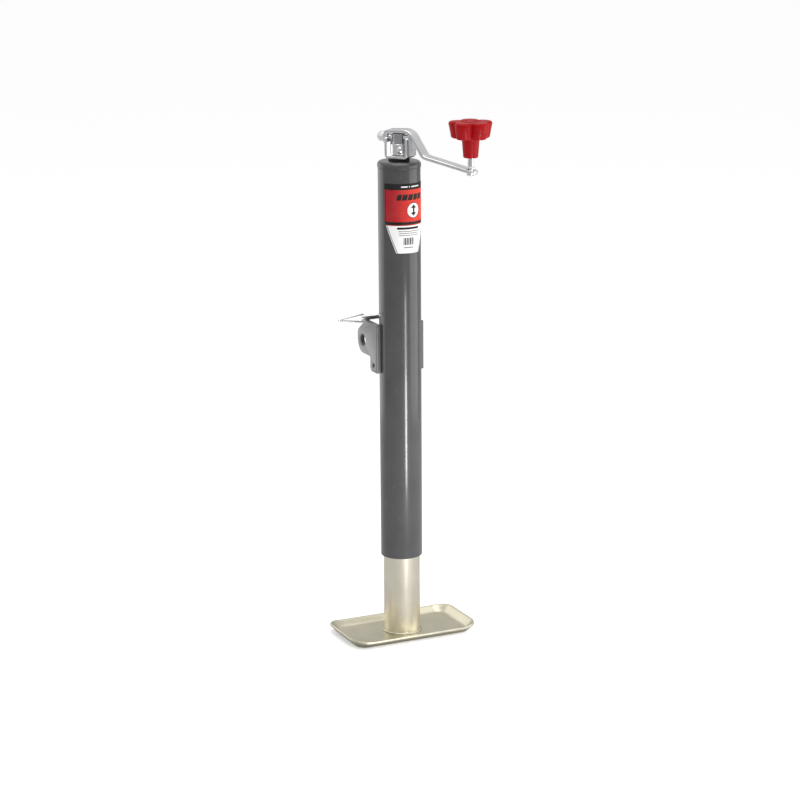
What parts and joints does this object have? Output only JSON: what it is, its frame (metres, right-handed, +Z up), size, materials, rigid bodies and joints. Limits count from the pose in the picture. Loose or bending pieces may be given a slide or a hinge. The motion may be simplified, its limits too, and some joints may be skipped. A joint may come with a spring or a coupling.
{
  "type": "trailer tongue jack",
  "caption": "Round top-wind trailer tongue jack with hand crank, lobed knob, swivel bracket, pull pin and a dished foot on a sliding drop leg.",
  "frame": {"origin": "middle of the foot's flat underside", "axes": "+Z up along the tube, +X along the foot's long side, +Y towards the bracket at the back"},
  "size_m": [0.1683, 0.1562, 0.6403],
  "materials": {
    "tube_paint": "semi-gloss",
    "plate_paint": "semi-gloss",
    "black_nylon": "matte",
    "label_print": "gloss",
    "plain_steel": "satin",
    "bright_plating": "bright",
    "yellow_zinc": "satin",
    "red_plastic": "gloss"
  },
  "bodies": {
    "housing": {"outer_tube": "tube_paint", "top_cap": "tube_paint", "cap_bushing": "black_nylon", "label": "label_print", "thrust_race_upper": "plain_steel", "side_plate_left": "plate_paint", "side_plate_right": "plate_paint", "lock_sleeve": "plate_paint"},
    "bearing_cage": {"ball_cage": "plain_steel"},
    "crank": {"lift_screw": "plain_steel", "thrust_race_lower": "plain_steel", "thrust_collar": "plain_steel", "collar_pin": "plain_steel", "head_collar": "bright_plating", "head_pin": "bright_plating", "crank_yoke": "bright_plating", "crank_stud": "bright_plating", "crank_washer": "bright_plating", "crank_nut": "bright_plating", "crank_arm": "bright_plating", "stop_washer": "plain_steel", "stop_pin": "plain_steel", "knob_pin": "bright_plating"},
    "hand_knob": {"knob": "red_plastic", "knob_retainer": "plain_steel", "knob_cap": "red_plastic"},
    "leg": {"drop_leg": "yellow_zinc", "lift_nut": "plain_steel", "foot_plate": "yellow_zinc"},
    "pull_pin": {"lock_pin": "bright_plating"},
    "bail": {"pin_bail": "bright_plating"}
  },
  "joints": [
    {"name": "crank_turn", "type": "hinge", "parent": "housing", "child": "crank", "pos_m": [0, 0, 0.6], "axis": [0, 0, 1], "range_deg": [0, 27000]},
    {"name": "cage_turn", "type": "hinge", "parent": "housing", "child": "bearing_cage", "pos_m": [0, 0, 0.575], "axis": [0, 0, 1], "range_deg": [0, 13500]},
    {"name": "leg_slide", "type": "slide", "parent": "housing", "child": "leg", "axis": [0, 0, -1], "range_m": [0, 0.381]},
    {"name": "knob_spin", "type": "hinge", "parent": "crank", "child": "hand_knob", "pos_m": [0.05775, -0.07392, 0.61], "axis": [0, 0, 1], "continuous": true},
    {"name": "lock_pin_pull", "type": "slide", "parent": "housing", "child": "pull_pin", "axis": [-1, 0, 0], "range_m": [0, 0.056]},
    {"name": "bail_swing", "type": "hinge", "parent": "pull_pin", "child": "bail", "pos_m": [-0.0345, 0.03118, 0.39448], "axis": [0, 0, 1], "range_deg": [-80, 80]}
  ],
  "couplings": [
    {"joint": "cage_turn", "follows": "crank_turn", "ratio": 0.5},
    {"joint": "leg_slide", "follows": "crank_turn", "m_per_rad": 0.00080851}
  ]
}
